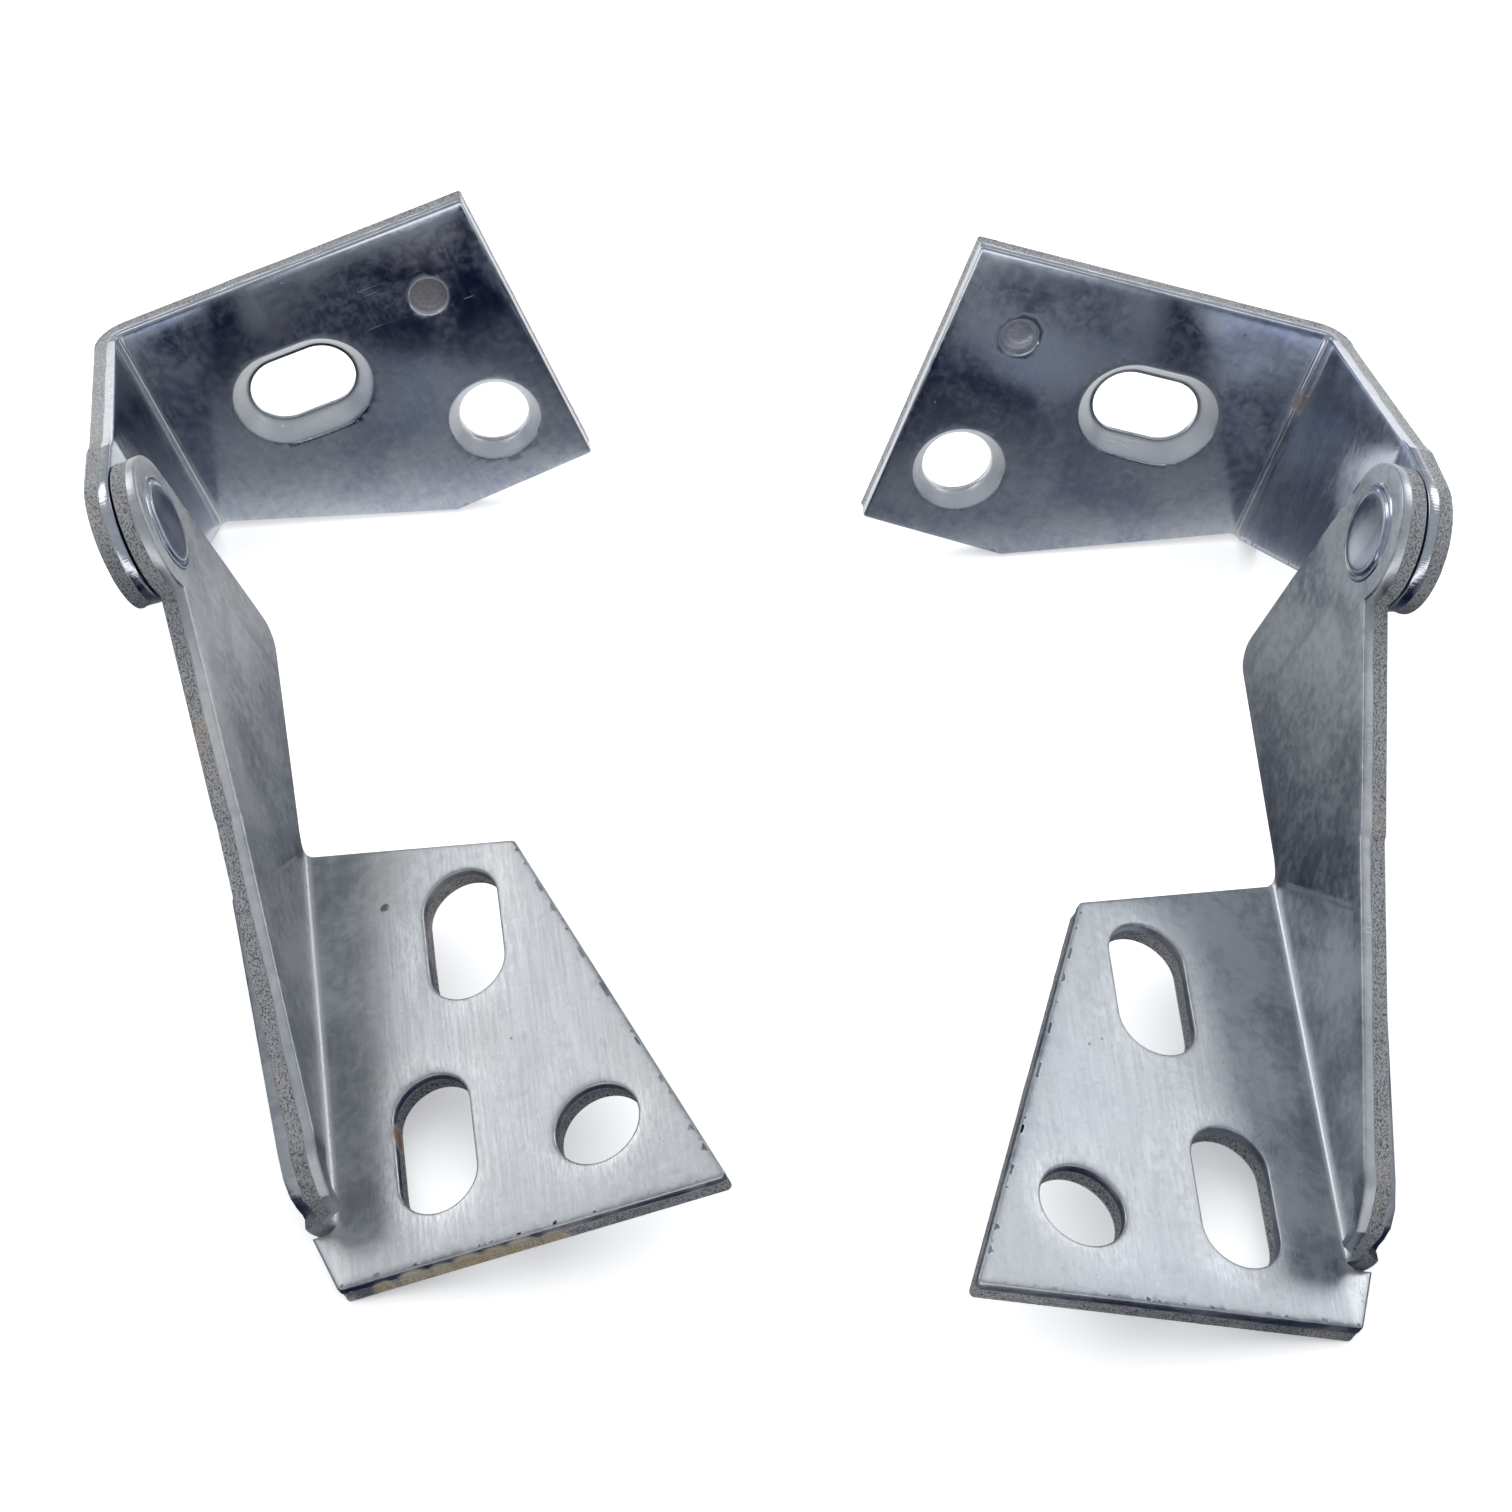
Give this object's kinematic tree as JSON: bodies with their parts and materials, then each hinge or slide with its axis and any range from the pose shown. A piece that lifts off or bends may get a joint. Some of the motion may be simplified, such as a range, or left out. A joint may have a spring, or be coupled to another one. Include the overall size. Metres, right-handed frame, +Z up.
{
  "type": "lid hinge pair",
  "caption": "Handed pair of riveted steel lid hinges, each with a slotted lower bracket on an offset arm and a countersunk upper bracket.",
  "frame": {"origin": "centre of the bounding box at its bottom: the table that both hinges lie on", "axes": "+Z up from the table, +X from the left hinge to the right hinge, +Y from the lower brackets to the upper brackets"},
  "size_m": [0.159, 0.1462, 0.0495],
  "materials": {
    "lower_zinc": "dull bright zinc plating with fine streaks and light wear",
    "upper_zinc": "bright zinc plating, smooth and mirror-like",
    "rivet_zinc": "bright zinc plating on a pressed-over head"
  },
  "bodies": {
    "root": {"left_lower_bracket": "lower_zinc", "left_pivot_rivet": "rivet_zinc", "right_lower_bracket": "lower_zinc", "right_pivot_rivet": "rivet_zinc"},
    "left_upper": {"left_upper_bracket": "upper_zinc"},
    "right_upper": {"right_upper_bracket": "upper_zinc"}
  },
  "joints": [
    {"name": "left_pivot", "type": "hinge", "parent": "root", "child": "left_upper", "pos_m": [-0.06342, 0.01385, 0.0418], "axis": [0.9339, 0.1483, 0.3254], "range_deg": [-75.5, 44.5]},
    {"name": "right_pivot", "type": "hinge", "parent": "root", "child": "right_upper", "pos_m": [0.07094, 0.01139, 0.0418], "axis": [0.9445, 0.0458, -0.3254], "range_deg": [-75.5, 44.5]}
  ]
}
